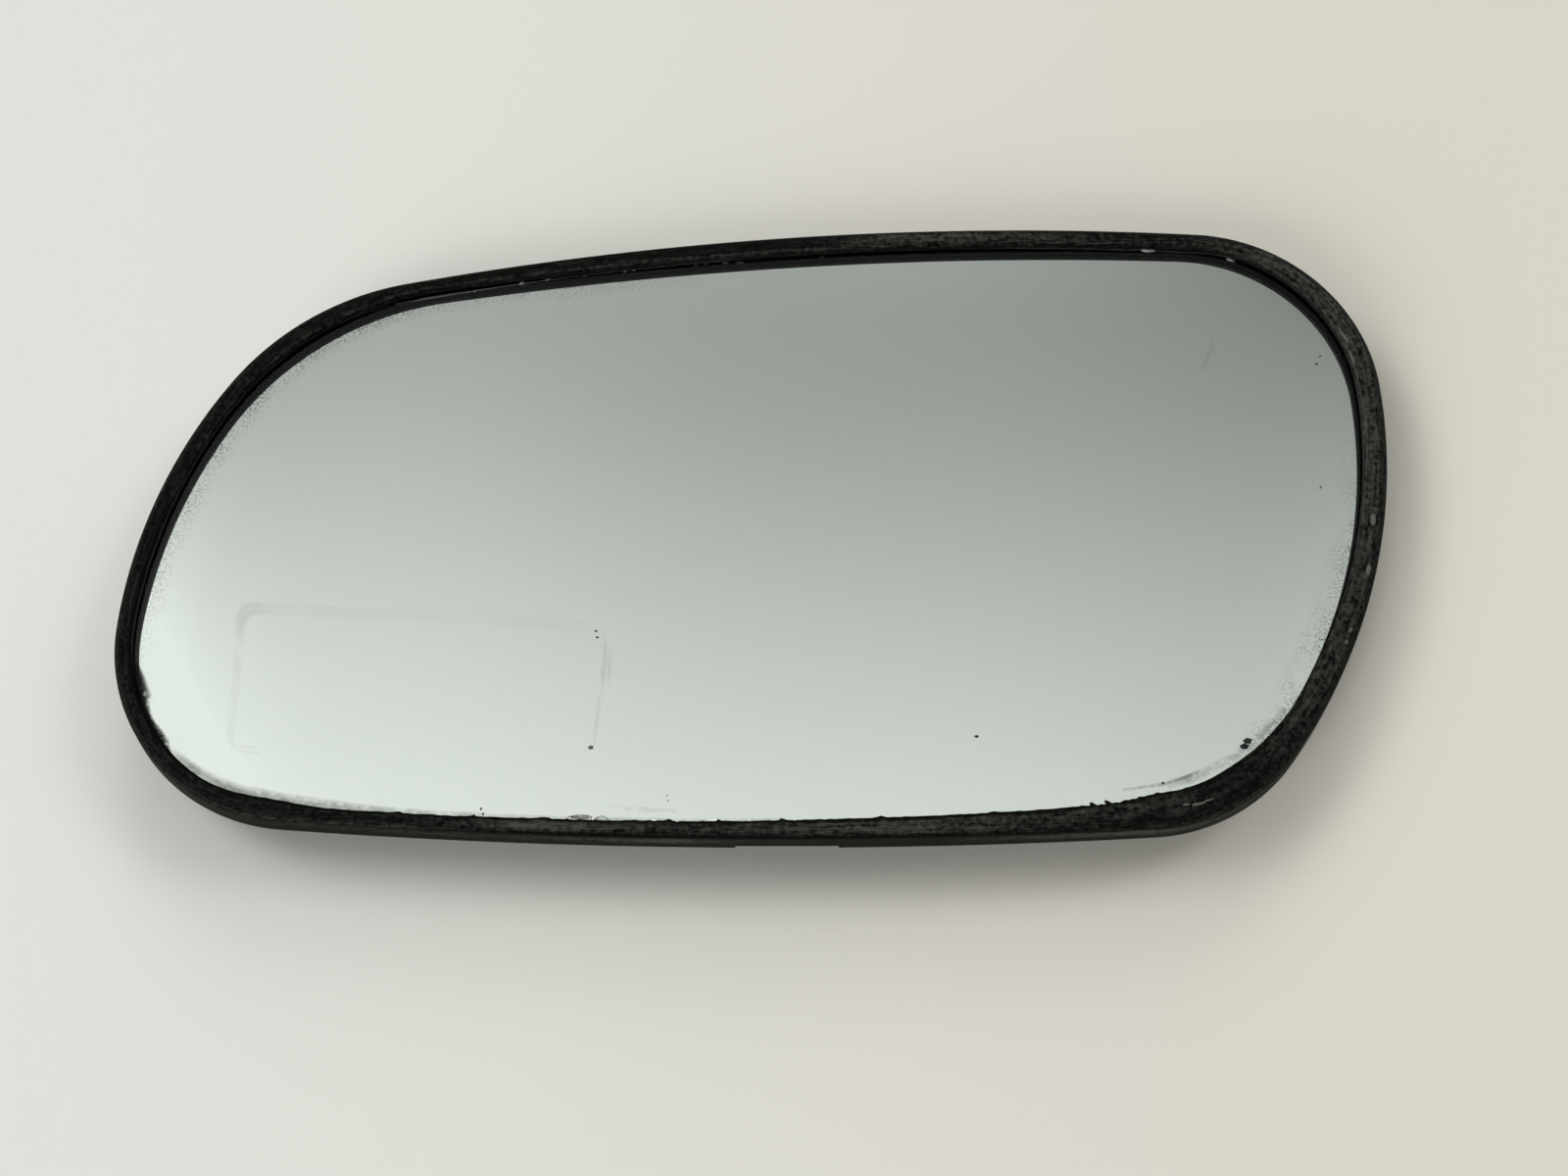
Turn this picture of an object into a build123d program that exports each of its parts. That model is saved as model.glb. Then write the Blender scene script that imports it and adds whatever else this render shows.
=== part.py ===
"""Car door mirror glass: a convex mirror bonded into a moulded holder that clips onto the mirror motor.

The part lies on the tips of its claws with the glass facing up. Z = 0 is that resting plane, and the
Z axis is the axis of the claw ring, which is also the normal at the middle of the glass. Sizes are in mm.
"""

import os
from math import pi, sqrt

from build123d import *

# Rim outline, seen from the front: where its four corners are before rounding, counted from the bottom left
# one, how far each side bulges out between them, and the round of each corner
bottom_length = 146.1
bottom_drop = 2.5
left_height = 72.9
left_lean = 22.8
right_height = 84.6
right_lean = 17.2
top_bulge = 4.8
right_bulge = 12.9
bottom_bulge = 3.6
left_bulge = 11.3
top_left_round = 37.6
top_right_round = 25.3
bottom_right_round = 25.0
bottom_left_round = 25.1

# Window in the lip, through which the glass shows: how far in from the rim's corners its own corners lie,
# how much flatter its sides are than the rim's, and how much larger its rounds are
lip_top_left_x = 2.2
lip_top_left_y = 1.0
lip_top_right_x = 3.0
lip_top_right_y = 1.6
lip_bottom_right_x = 2.1
lip_bottom_right_y = 3.7
lip_bottom_left_x = 1.3
lip_bottom_left_y = 2.0
lip_top_flattening = 1.3
lip_right_flattening = 0.6
lip_bottom_flattening = -0.8
lip_left_flattening = 0.9
lip_top_left_easing = 3.7
lip_top_right_easing = -1.7
lip_bottom_right_easing = 6.8
lip_bottom_left_easing = -1.6

# Layers, from the front to the back, all bent to the same centre
mirror_curve_radius = 1400.0
lip_thickness = 1.2
lip_clearance = 0.1
glass_thickness = 2.0
pad_thickness = 0.6
plate_thickness = 1.5

# Rim channel that holds the edge of the glass
rim_wall = 1.0
glass_side_clearance = 0.25
front_edge_round = 1.0
back_edge_bevel = 0.5
lip_edge_bevel = 0.35
glass_arris = 0.25
pad_margin = 7.0

# Finger notch in the back edge of the rim, where the glass is levered off
notch_x = 4.0
notch_width = 13.6
notch_depth = 1.2

# Claw ring that clips over the round pivot plate of the mirror motor
pivot_plate_radius = 27.6
pivot_plate_thickness = 3.0
claw_clearance = 0.3
claw_count = 6
claw_width = 9.0
claw_thickness = 1.8
hook_depth = 1.2
hook_lead_in = 1.6
hook_land = 0.6
hook_back_slope = 0.8
claw_tip_bevel = 0.3

# Collar that seats the pivot plate and centres its spigot
collar_bore_radius = 22.0
collar_wall = 2.5
collar_height = 5.2

# Stiffening ribs on the back of the plate
rib_thickness = 1.4
rib_height = 2.6
rim_rib_inset = 6.0

# Heights above the resting plane
hook_top = hook_lead_in + hook_land + hook_back_slope
seat_height = hook_top + pivot_plate_thickness
plate_back_height = seat_height + collar_height
plate_middle_height = plate_back_height + plate_thickness / 2
glass_front_height = plate_back_height + plate_thickness + pad_thickness + glass_thickness
overall_height = glass_front_height + lip_clearance + lip_thickness

# Radii of the spherical faces, about one centre far below the part
bend_centre = (0, 0, glass_front_height - mirror_curve_radius)
glass_front_radius = mirror_curve_radius
glass_back_radius = glass_front_radius - glass_thickness
plate_front_radius = glass_back_radius - pad_thickness
plate_back_radius = plate_front_radius - plate_thickness
plate_middle_radius = plate_back_radius + plate_thickness / 2
rib_back_radius = plate_back_radius - rib_height
lip_back_radius = glass_front_radius + lip_clearance
lip_front_radius = lip_back_radius + lip_thickness

# Radii of the claw ring
claw_inner_radius = pivot_plate_radius + claw_clearance
claw_outer_radius = claw_inner_radius + claw_thickness
hook_inner_radius = claw_inner_radius - hook_depth
collar_outer_radius = collar_bore_radius + collar_wall
claw_angle = claw_width / claw_inner_radius * 180 / pi

# Corners, bulges and rounds of the rim and of the window, clockwise from the top left
rim_corners = (
    (left_lean, left_height),
    (bottom_length + right_lean, right_height - bottom_drop),
    (bottom_length, -bottom_drop),
    (0, 0),
)
rim_bulges = (top_bulge, right_bulge, bottom_bulge, left_bulge)
rim_rounds = (top_left_round, top_right_round, bottom_right_round, bottom_left_round)
window_corners = (
    (left_lean + lip_top_left_x, left_height - lip_top_left_y),
    (bottom_length + right_lean - lip_top_right_x, right_height - bottom_drop - lip_top_right_y),
    (bottom_length - lip_bottom_right_x, lip_bottom_right_y - bottom_drop),
    (lip_bottom_left_x, lip_bottom_left_y),
)
window_bulges = (
    top_bulge - lip_top_flattening,
    right_bulge - lip_right_flattening,
    bottom_bulge - lip_bottom_flattening,
    left_bulge - lip_left_flattening,
)
window_rounds = (
    top_left_round + lip_top_left_easing,
    top_right_round + lip_top_right_easing,
    bottom_right_round + lip_bottom_right_easing,
    bottom_left_round + lip_bottom_left_easing,
)


def arc_outline(corners, bulges, rounds, inset=0):
    """Sketch of four arcs from corner to corner, moved inwards by inset, with its corners rounded."""
    with BuildSketch() as outline:
        with BuildLine():
            for start, end, bulge in zip(corners, corners[1:] + corners[:1], bulges):
                SagittaArc(start, end, bulge)
        make_face()
        if inset > 0:
            offset(amount=-inset, mode=Mode.REPLACE)
        for corner, radius in zip(corners, rounds):
            fillet(outline.vertices().sort_by_distance(corner)[0], radius=radius)
    return outline.sketch


def rim_outline_inside(inset):
    """Sketch of the rim outline moved inwards by inset, parallel to the rim all round."""
    return arc_outline(rim_corners, rim_bulges, [radius - inset for radius in rim_rounds], inset)


def keep_layer(outer_radius, inner_radius):
    """Trims the part in hand to the layer between two spheres about the bend centre."""
    with Locations(bend_centre):
        Sphere(outer_radius, rotation=(90, 0, 0), mode=Mode.INTERSECT)
        Sphere(inner_radius, rotation=(90, 0, 0), mode=Mode.SUBTRACT)


# Outlines
rim_outline = rim_outline_inside(0)
pocket_outline = rim_outline_inside(rim_wall)
glass_outline = rim_outline_inside(rim_wall + glass_side_clearance)
pad_outline = rim_outline_inside(rim_wall + pad_margin)
rib_outline = rim_outline_inside(rim_rib_inset)
rib_inner_outline = rim_outline_inside(rim_rib_inset + rib_thickness)
window_outline = arc_outline(window_corners, window_bulges, window_rounds)

# The claw ring is behind the middle of the outline
rim_box = rim_outline.bounding_box()
outline_place = -rim_box.center()
spoke_reach = rim_box.diagonal

# Finger notch: over the lower edge of the rim, up from below to its depth in the back edge there
notch_y = -rim_box.size.Y / 2
notch_top = bend_centre[2] + sqrt(plate_back_radius**2 - notch_y**2) + notch_depth
notch_align = (Align.CENTER, Align.CENTER, Align.MAX)

# Mirror glass: a bent plate of constant thickness with its sharp edges ground off
with BuildPart() as mirror_glass:
    with BuildSketch():
        with Locations(outline_place):
            add(glass_outline)
    extrude(amount=overall_height)
    keep_layer(glass_front_radius, glass_back_radius)
    glass_faces = mirror_glass.faces().filter_by(GeomType.SPHERE)
    chamfer(glass_faces.edges(), length=glass_arris)

# Foam bonding pad between the glass and the holder
with BuildPart() as adhesive_pad:
    with BuildSketch():
        with Locations(outline_place):
            add(pad_outline)
    extrude(amount=overall_height)
    keep_layer(glass_back_radius, plate_front_radius)

# Space inside the holder: the pocket for glass and pad, and the window above it
with BuildPart() as pocket:
    with BuildSketch():
        with Locations(outline_place):
            add(pocket_outline)
    extrude(amount=overall_height)
    with Locations(bend_centre):
        Sphere(lip_back_radius, rotation=(90, 0, 0), mode=Mode.INTERSECT)
    with BuildSketch(Plane.XY.offset(plate_back_height / 2)):
        with Locations(outline_place):
            add(window_outline)
    extrude(amount=overall_height)
    with Locations(bend_centre):
        Sphere(plate_front_radius, rotation=(90, 0, 0), mode=Mode.SUBTRACT)

# Ribs on the back of the plate: one parallel to the rim, and a spoke from the collar between each two claws
with BuildPart() as ribs:
    with BuildSketch():
        with PolarLocations(0, claw_count):
            Rectangle(spoke_reach, rib_thickness, align=(Align.MIN, Align.CENTER))
        with Locations(outline_place):
            add(rib_inner_outline, mode=Mode.INTERSECT)
        Circle(collar_bore_radius + collar_wall / 2, mode=Mode.SUBTRACT)
    extrude(amount=overall_height)
    with BuildSketch():
        with Locations(outline_place):
            add(rib_outline)
            add(rib_inner_outline, mode=Mode.SUBTRACT)
    extrude(amount=overall_height)
    keep_layer(plate_middle_radius, rib_back_radius)

# One claw, standing on the resting plane, and the opening that its hook is moulded through
with BuildPart() as claw:
    with BuildSketch(Plane.XZ):
        with BuildLine():
            Polyline(
                (claw_inner_radius, plate_middle_height),
                (claw_inner_radius, hook_top),
                (hook_inner_radius, hook_lead_in + hook_land),
                (hook_inner_radius, hook_lead_in),
                (claw_inner_radius, 0),
                (claw_outer_radius, 0),
                (claw_outer_radius, plate_middle_height),
                close=True,
            )
        make_face()
    revolve(axis=Axis.Z, revolution_arc=claw_angle)
    chamfer(claw.edges().group_by(Axis.Z)[0], length=claw_tip_bevel)

with BuildPart() as hook_opening:
    with BuildSketch(Plane.XZ):
        with Locations((hook_inner_radius, plate_back_height - plate_thickness)):
            Rectangle(hook_depth, 3 * plate_thickness, align=Align.MIN)
    revolve(axis=Axis.Z, revolution_arc=claw_angle)

# Holder: one moulding of rim channel, plate, ribs, collar and claws
with BuildPart() as glass_holder:
    with BuildSketch():
        with Locations(outline_place):
            add(rim_outline)
    extrude(amount=overall_height)
    keep_layer(lip_front_radius, plate_back_radius)
    front_face = glass_holder.faces().filter_by(GeomType.SPHERE).sort_by(Axis.Z)[-1]
    fillet(front_face.edges(), radius=front_edge_round)
    back_face = glass_holder.faces().filter_by(GeomType.SPHERE).sort_by(Axis.Z)[0]
    chamfer(back_face.edges(), length=back_edge_bevel)
    add(pocket.part, mode=Mode.SUBTRACT)
    lip_face = glass_holder.faces().filter_by(GeomType.SPHERE).sort_by(Axis.Z)[-1]
    chamfer(lip_face.inner_wires()[0].edges(), length=lip_edge_bevel)
    with Locations((notch_x, notch_y, notch_top)):
        Box(notch_width, 2 * rim_wall, plate_back_height, align=notch_align, mode=Mode.SUBTRACT)
    add(ribs.part)
    with BuildSketch(Plane.XY.offset(seat_height)):
        Circle(collar_outer_radius)
        Circle(collar_bore_radius, mode=Mode.SUBTRACT)
    extrude(amount=plate_middle_height - seat_height)
    with PolarLocations(0, claw_count, start_angle=180 / claw_count - claw_angle / 2):
        add(claw.part)
        add(hook_opening.part, mode=Mode.SUBTRACT)

os.makedirs("parts", exist_ok=True)
mirror_glass.part.label = "mirror_glass"
adhesive_pad.part.label = "adhesive_pad"
glass_holder.part.label = "glass_holder"
export_step(mirror_glass.part, "parts/mirror_glass.step")
export_step(adhesive_pad.part, "parts/adhesive_pad.step")
export_step(glass_holder.part, "parts/glass_holder.step")
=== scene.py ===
"""Looks of a car door mirror glass: silvered convex glass in a weathered black holder, lying glass up."""

import bpy
import numpy as np
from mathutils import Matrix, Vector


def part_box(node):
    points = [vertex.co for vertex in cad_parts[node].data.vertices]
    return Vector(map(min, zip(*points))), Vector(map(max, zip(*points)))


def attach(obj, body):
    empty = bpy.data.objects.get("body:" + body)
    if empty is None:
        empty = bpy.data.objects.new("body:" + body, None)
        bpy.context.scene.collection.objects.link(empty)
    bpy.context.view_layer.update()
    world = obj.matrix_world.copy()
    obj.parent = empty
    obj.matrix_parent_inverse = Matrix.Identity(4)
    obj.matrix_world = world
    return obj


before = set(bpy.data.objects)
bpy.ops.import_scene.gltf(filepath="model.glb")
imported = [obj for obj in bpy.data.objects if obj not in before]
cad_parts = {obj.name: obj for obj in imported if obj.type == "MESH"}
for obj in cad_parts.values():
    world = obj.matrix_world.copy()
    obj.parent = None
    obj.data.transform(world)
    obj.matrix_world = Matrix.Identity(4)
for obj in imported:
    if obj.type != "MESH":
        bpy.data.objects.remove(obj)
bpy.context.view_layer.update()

MM = 0.001

# Rim outline in mm, seen from the front, as in the solids: corners before rounding, clockwise from the top
# left, how far the side after each bulges, and the rounds
RIM_CORNERS = np.array([(22.8, 72.9), (163.3, 82.1), (146.1, -2.5), (0.0, 0.0)])
RIM_BULGES = np.array([4.8, 12.9, 3.6, 11.3])
RIM_ROUNDS = np.array([37.6, 25.3, 25.0, 25.1])

# Window in the lip: how far in its corners lie, how much flatter its sides and how much larger its rounds are
WINDOW_INSETS = np.array([(2.2, -1.0), (-3.0, -1.6), (-2.1, 3.7), (1.3, 2.0)])
WINDOW_FLATTENING = np.array([1.3, 0.6, -0.8, 0.9])
WINDOW_EASING = np.array([3.7, -1.7, 6.8, -1.6])

# Layers, edges and notch in mm, as in the solids, with the layers bent about one centre, then the thickness
# of the skin over the rim and how far the silver lies inside the back of the glass
MIRROR_CURVE_RADIUS = 1400.0
LIP_THICKNESS = 1.2
LIP_CLEARANCE = 0.1
GLASS_THICKNESS = 2.0
GLASS_INSET = 1.25
RIM_DEPTH = 5.4
FRONT_EDGE_ROUND = 1.0
LIP_EDGE_ROUND = 0.35
BACK_EDGE_BEVEL = 0.5
NOTCH_X = 4.0
NOTCH_WIDTH = 13.6
NOTCH_DEPTH = 1.2
SKIN = 0.03
SILVER_RISE = 0.06

GLASS_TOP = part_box("mirror_glass")[1][2] / MM
BEND_CENTRE_Z = GLASS_TOP - MIRROR_CURVE_RADIUS
GLASS_BACK_RADIUS = MIRROR_CURVE_RADIUS - GLASS_THICKNESS
SILVER_RADIUS = GLASS_BACK_RADIUS + SILVER_RISE
LIP_FRONT_RADIUS = MIRROR_CURVE_RADIUS + LIP_CLEARANCE + LIP_THICKNESS

# Wear and painted light round the rim: degrees counted from the right, anticlockwise, and there, from 0 to 1
# or a little over, how chalky the lip is near the glass and away from it, how strong the painted highlight
# line on its outer edge is, how grey the side wall is, partly from chalk and partly from a painted reflection
# of the pale floor, how ragged its inner edge is, and how far the silver beside it has gone
WEAR_DEG, INNER_CHALK, OUTER_CHALK, EDGE_PAINTED_HIGHLIGHT, WALL_CHALK_AND_REFLECTION, RAGGED, SILVER_LOSS = np.array([
    (0, 0.40, 0.26, 0.00, 0.20, 0.05, 0.50),
    (8, 0.52, 0.22, 0.00, 0.12, 0.00, 0.15),
    (18, 0.54, 0.48, 0.00, 0.10, 0.00, 0.08),
    (30, 0.54, 0.46, 0.00, 0.10, 0.00, 0.05),
    (38, 0.15, 0.04, 0.00, 0.10, 0.00, 0.05),
    (48, 0.42, 0.34, 0.00, 0.10, 0.00, 0.05),
    (60, 0.28, 0.55, 0.00, 0.10, 0.00, 0.05),
    (68, 0.42, 0.60, 0.00, 0.10, 0.00, 0.05),
    (78, 0.05, 0.02, 0.00, 0.10, 0.03, 0.07),
    (103, 0.06, 0.02, 0.00, 0.10, 0.05, 0.10),
    (130, 0.05, 0.04, 0.00, 0.10, 0.00, 0.60),
    (145, 0.04, 0.04, 0.00, 0.08, 0.00, 0.95),
    (165, 0.03, 0.06, 0.00, 0.08, 0.00, 0.95),
    (185, 0.03, 0.03, 0.00, 0.10, 0.05, 0.50),
    (196, 0.09, 0.07, 0.15, 0.08, 0.30, 0.10),
    (211, 0.07, 0.04, 0.45, 0.25, 0.60, 0.10),
    (222, 0.24, 0.08, 0.45, 0.40, 0.80, 0.05),
    (228, 0.08, 0.30, 0.15, 0.40, 0.90, 0.05),
    (235, 0.48, 0.90, 0.00, 0.45, 1.00, 0.05),
    (246, 0.30, 0.48, 0.00, 0.70, 0.90, 0.05),
    (256, 0.16, 0.18, 0.00, 1.10, 0.80, 0.05),
    (268, 0.32, 0.46, 0.00, 0.30, 0.70, 0.05),
    (298, 0.32, 0.64, 0.00, 0.12, 0.50, 0.05),
    (312, 0.48, 0.20, 0.05, 0.80, 0.60, 0.05),
    (320, 0.50, 0.04, 0.25, 1.10, 1.50, 0.05),
    (330, 0.10, 0.03, 0.45, 0.70, 0.60, 0.15),
    (345, 0.54, 0.26, 0.00, 0.35, 0.10, 0.85),
]).T

# Camera: the photograph's view, from the lower edge of the glass and off its normal
VIEW_TILT_DEG = 21.0
VIEW_TARGET = np.array([3.55, -9.40, GLASS_TOP])
VIEW_DISTANCE = 457.7
FOCAL_PIXELS = 3500.0
IMAGE_WIDTH = 1600
SENSOR_MM = 36.0
NEAREST_SEEN = 10.0

# Sky: strength, centre and spread of each soft patch of light, over x and y of the direction, the most of it
# that is seen, and the tone seen near the horizon, fading in between two heights of the direction
SKY_PATCHES = [
    (8.0, (-0.52, 0.16), (0.15, 0.23)),
    (6.3, (0.56, 0.26), (0.15, 0.15)),
    (7.1, (-0.38, -0.62), (0.23, 0.15)),
    (4.1, (0.03, 0.77), (0.21, 0.15)),
    (0.33, (-0.21, 0.18), (0.15, 0.46)),
    (0.84, (0.06, 0.13), (0.40, 0.33)),
]
SKY_SEEN_MOST = 0.95
HORIZON_TONE = 0.68
HORIZON_FADE_TOP = 0.6
HORIZON_FADE_FOOT = 0.3


# Small helpers

def linear(hex_colour):
    """An sRGB hex colour such as "#1A1B1C" as linear red, green, blue and alpha."""
    srgb = np.array([int(hex_colour[i:i + 2], 16) for i in (1, 3, 5)]) / 255
    rgb = np.where(srgb <= 0.04045, srgb / 12.92, ((srgb + 0.055) / 1.055) ** 2.4)
    return (*rgb.tolist(), 1.0)


def node(tree, kind, sockets=None, **settings):
    """Adds a node: settings are its own options, sockets gives inputs a value or another node's output."""
    new = tree.nodes.new(kind)
    for name, value in settings.items():
        setattr(new, name, value)
    for key, value in (sockets or {}).items():
        if isinstance(value, bpy.types.NodeSocket):
            tree.links.new(value, new.inputs[key])
        else:
            new.inputs[key].default_value = value
    return new


def material(name, **sockets):
    """A material of one Principled shader, with constants set on its own sockets."""
    made = bpy.data.materials.new(name)
    made.use_nodes = True
    shader = made.node_tree.nodes["Principled BSDF"]
    for key, value in sockets.items():
        shader.inputs[key.replace("_", " ")].default_value = value
    return made, made.node_tree, shader


def grid_mesh(name, grids, wrap_rows=False, caps=False, extra=None, uv=None):
    """A piece made of grids of points (copy, row, column, xyz) in mm: each four neighbours make a face, the
    columns close into a ring, and the rows close too or end in caps. extra holds values for each point, and
    uv the lengths in mm across the rows and along the columns."""
    copies, rows, columns = grids.shape[:3]
    index = np.arange(rows * columns).reshape(rows, columns)
    ring = np.concatenate([index, index[:, :1]], axis=1)
    if wrap_rows:
        ring = np.concatenate([ring, ring[:1]])
    quads = np.stack([ring[:-1, :-1], ring[:-1, 1:], ring[1:, 1:], ring[1:, :-1]], axis=-1).reshape(-1, 4)
    starts = np.arange(copies) * rows * columns
    faces = (starts[:, None, None] + quads).reshape(-1, 4).tolist()
    if caps:
        faces += (starts[:, None] + index[0, ::-1]).tolist()
        faces += (starts[:, None] + index[-1]).tolist()
    mesh = bpy.data.meshes.new(name)
    mesh.from_pydata((grids.reshape(-1, 3) * MM).tolist(), [], faces)
    for key, values in (extra or {}).items():
        layer = mesh.attributes.new(key, "FLOAT", "POINT")
        layer.data.foreach_set("value", np.broadcast_to(values, grids.shape[:3]).ravel().astype(np.float32))
    if uv:
        across, along = uv
        u, v = np.meshgrid(along, across)
        corners = np.stack([u, v], axis=-1)
        loops = np.stack([corners[:-1, :-1], corners[:-1, 1:], corners[1:, 1:], corners[1:, :-1]], axis=2)
        mesh.uv_layers.new(name="along_rim_mm").data.foreach_set("uv", loops.ravel())
    mesh.polygons.foreach_set("use_smooth", np.ones(len(mesh.polygons), bool))
    mesh.update()
    made = bpy.data.objects.new(name, mesh)
    bpy.context.scene.collection.objects.link(made)
    return made


# Outline of the rim and window, as distance from the axis over angle

FINE_ANGLES = np.linspace(0, 2 * np.pi, 20001)
RIM_STEPS = 2400


def side_circles(corners, bulges):
    """Centre and radius of each side's arc: through two corners, standing out by the side's bulge."""
    chord = np.roll(corners, -1, axis=0) - corners
    length = np.linalg.norm(chord, axis=1)
    outward = np.stack([-chord[:, 1], chord[:, 0]], axis=1) / length[:, None]
    radius = (length ** 2 / 4 + bulges ** 2) / (2 * bulges)
    centre = corners + chord / 2 + outward * (bulges - radius)[:, None]
    return centre, radius


def far_side(angle, centre, radius):
    """Distance along each angle from the axis to the far side of a circle."""
    along = np.cos(angle) * centre[0] + np.sin(angle) * centre[1]
    return along + np.sqrt(np.maximum(along ** 2 - centre @ centre + radius ** 2, 0))


def circles_meet(centre_a, radius_a, centre_b, radius_b, near):
    """The crossing point of two circles that lies nearest to a given point."""
    across = centre_b - centre_a
    gap = np.linalg.norm(across)
    along = (radius_a ** 2 - radius_b ** 2 + gap ** 2) / (2 * gap)
    rise = np.sqrt(radius_a ** 2 - along ** 2)
    foot = centre_a + across / gap * along
    sideways = np.array([-across[1], across[0]]) / gap * rise
    return min(foot + sideways, foot - sideways, key=lambda point: np.linalg.norm(point - near))


def outline(angle, corners, bulges, rounds, inset):
    """Points x, y at each angle on the outline moved inwards by inset: four side circles, a round between
    each two, and for each angle the circle whose stretch of the outline it meets."""
    centres, radii = side_circles(corners, bulges)
    rounds = rounds - inset
    stretches = []
    for k, corner in enumerate(corners):
        swing_before = radii[k - 1] - inset - rounds[k]
        swing_after = radii[k] - inset - rounds[k]
        middle = circles_meet(centres[k - 1], swing_before, centres[k], swing_after, corner)
        start = middle + (middle - centres[k - 1]) / swing_before * rounds[k]
        end = middle + (middle - centres[k]) / swing_after * rounds[k]
        stretches.append((np.arctan2(start[1], start[0]), middle, rounds[k]))
        stretches.append((np.arctan2(end[1], end[0]), centres[k], radii[k] - inset))
    distance = np.zeros_like(angle)
    for (start, middle, radius), (end, _, _) in zip(stretches, stretches[1:] + stretches[:1]):
        inside = (start - angle) % (2 * np.pi) < (start - end) % (2 * np.pi)
        distance = np.where(inside, far_side(angle, middle, radius), distance)
    return np.stack([np.cos(angle), np.sin(angle)], axis=-1) * distance[..., None]


def rim_points(angle, inset):
    """Points x, y of the curve parallel to the rim at a distance inset inside it."""
    return outline(angle, RIM_CORNERS, RIM_BULGES, RIM_ROUNDS, inset)


def window_points(angle, inset):
    """Points x, y of the curve parallel to the window's edge at a distance inset inside it."""
    corners = RIM_CORNERS + WINDOW_INSETS
    return outline(angle, corners, RIM_BULGES - WINDOW_FLATTENING, RIM_ROUNDS + WINDOW_EASING, inset)


def centre_outline():
    """Moves the corners so that the rim's box has the middle that the holder's has."""
    rough = RIM_CORNERS - RIM_CORNERS.mean(axis=0)
    rim = outline(FINE_ANGLES, rough, RIM_BULGES, RIM_ROUNDS, 0.0)
    low, high = np.array(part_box("glass_holder"))[:, :2] / MM
    return rough - (rim.min(axis=0) + rim.max(axis=0)) / 2 + (low + high) / 2


def even_angles(count):
    """Angles that divide the rim into equal lengths, and the length along the rim at each."""
    steps = np.linalg.norm(np.diff(rim_points(FINE_ANGLES, 0.0), axis=0), axis=1)
    along = np.concatenate([[0], np.cumsum(steps)])
    length = np.linspace(0, along[-1], count + 1)
    return np.interp(length[:-1], along, FINE_ANGLES), length


def bend_height(points, radius):
    """Height of the sphere of that radius about the bend centre, over points x, y."""
    return BEND_CENTRE_Z + np.sqrt(radius ** 2 - (points ** 2).sum(axis=-1))


def lifted(points, radius, rise=0.0):
    """Points x, y, z on the sphere of that radius about the bend centre, raised by rise."""
    return np.concatenate([points, (bend_height(points, radius) + rise)[..., None]], axis=-1)


def around(amounts, angle):
    """The amounts given for the listed degrees round the rim, joined by straight lines."""
    return np.interp(np.degrees(angle), WEAR_DEG, amounts, period=360)


def rough_line(length, spacing, seed):
    """Closed rough line from 0 to 1 along the rim: random heights at about that spacing, joined by straight
    lines."""
    count = round(length[-1] / spacing)
    heights = np.random.default_rng(seed).uniform(0, 1, count)
    return np.interp(length[:-1], np.arange(count) * length[-1] / count, heights, period=length[-1])


RIM_CORNERS = centre_outline()
ANGLES, LENGTH = even_angles(RIM_STEPS)


# Skin of the rim

# Raggedness of the lip's inner edge: spacing in mm, height in mm and seed of two rough lines
ROUGH_LINES = [(0.7, 0.16, 11), (3.5, 0.14, 12)]

# Burrs on the lip's lower edge: x, how far each stands over the glass and its half width
BURRS = [
    (44.1, 0.75, 0.20), (46.2, 0.85, 0.26), (48.6, 0.22, 0.30), (50.6, 0.25, 0.35), (53.0, 0.28, 0.30),
    (51.5, 0.58, 4.2), (-37.0, 0.30, 0.22), (-28.0, 0.25, 0.9), (-11.5, 0.30, 0.5), (16.3, 0.22, 0.5),
    (31.0, 0.20, 0.6), (-64.3, 1.05, 5.0), (-47.0, 0.25, 0.7), (-5.0, 0.26, 0.25), (3.2, 0.20, 0.4),
]

# Waviness of the lip's front in mm: spacing, height and seed
WAVER_SPACING = 4.0
WAVER_HEIGHT = 0.03
WAVER_SEED = 21

# Rows of the skin: how many go up the wall, round the front edge, across the lip and round its inner edge,
# the depth in mm and share of chalk and painted light of those on its inner face, and how far inside the
# solid, in mm, the hidden ones lie
WALL_ROWS = 5
FRONT_EDGE_ROWS = 8
LIP_ROWS = 6
LIP_EDGE_ROWS = 5
INNER_FACE_ROWS = [(0.6, 0.6), (0.9, 0.3)]
HIDDEN_UNDER_LIP = 0.2
HIDDEN_BEHIND_WINDOW = 0.4
HIDDEN_BEHIND_FRONT = 0.6
HIDDEN_BEHIND_EDGE = 0.8
HIDDEN_BEHIND_WALL = 0.3

# Chalk on the lip's inner face: the degrees where it is strongest and the power by which it fades to both
# sides of that; and along the upper lip a painted light on the inner face, which faces the light there: the
# least of it and its share of the lip's own chalk
FACE_CHALK_DEG = 3.0
FACE_CHALK_FADE = 12
TOP_FACE_LIGHT_LEAST = 0.28
TOP_FACE_LIGHT_SHARE = 0.7

# Chalk and painted light on the rest: the share of the wall that is left dark at its foot, a painted shade
# along its lower edge, and over which its grey comes in, how bare the front edge is and how much barer along
# the top, as sines of its turn, the turn and width of the painted highlight line on it, in radians, and the
# share of the lip over which the chalk ends before the inner edge
WALL_SHADED_FOOT = 0.2
WALL_SHADE_FADE = 0.4
FRONT_EDGE_BARE = 0.55
FRONT_EDGE_BARER = 0.3
HIGHLIGHT_LINE_TURN = 0.45
HIGHLIGHT_LINE_WIDTH = 0.35
LIP_CHALK_END = 0.2


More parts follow.
